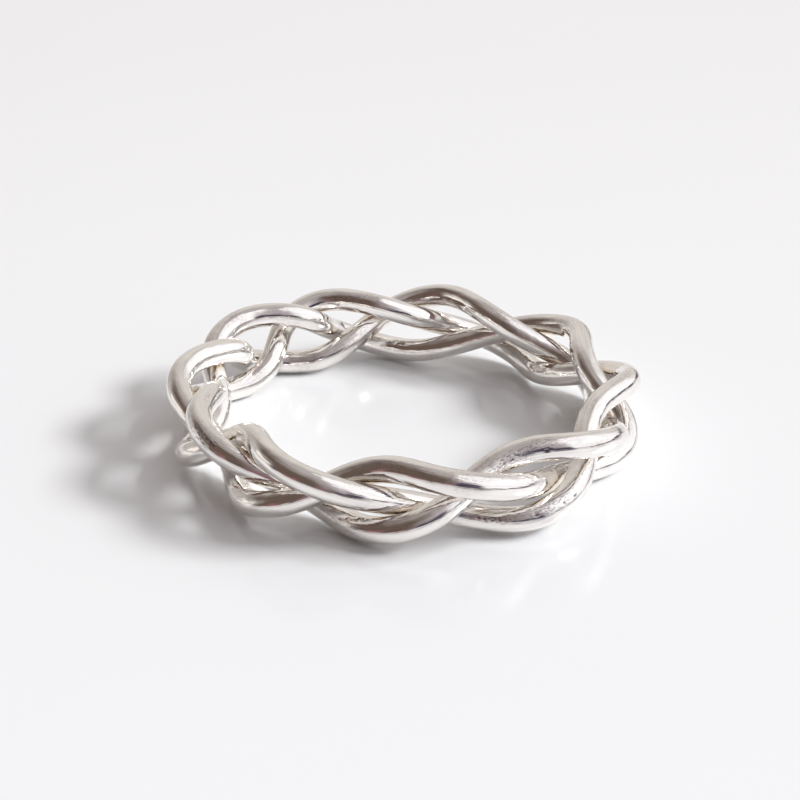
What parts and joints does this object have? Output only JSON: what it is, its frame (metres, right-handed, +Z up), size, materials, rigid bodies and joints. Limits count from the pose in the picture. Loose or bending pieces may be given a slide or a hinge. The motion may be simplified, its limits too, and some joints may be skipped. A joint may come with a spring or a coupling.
{
  "type": "braided band ring",
  "caption": "Finger ring made as a flat plait of round silver wires, soldered into a closed band with wavy edges.",
  "frame": {"origin": "on the axis of the finger hole, in the plane that the lower edge of the plait rests on", "axes": "+Z up along the axis of the finger hole, -Y towards the front as the picture shows it"},
  "size_m": [0.0234, 0.0232, 0.0043],
  "materials": {
    "silver_wire": "polished sterling silver with fine wear"
  },
  "bodies": {
    "root": {"strand_1": "silver_wire", "strand_2": "silver_wire", "strand_3": "silver_wire"}
  },
  "joints": []
}
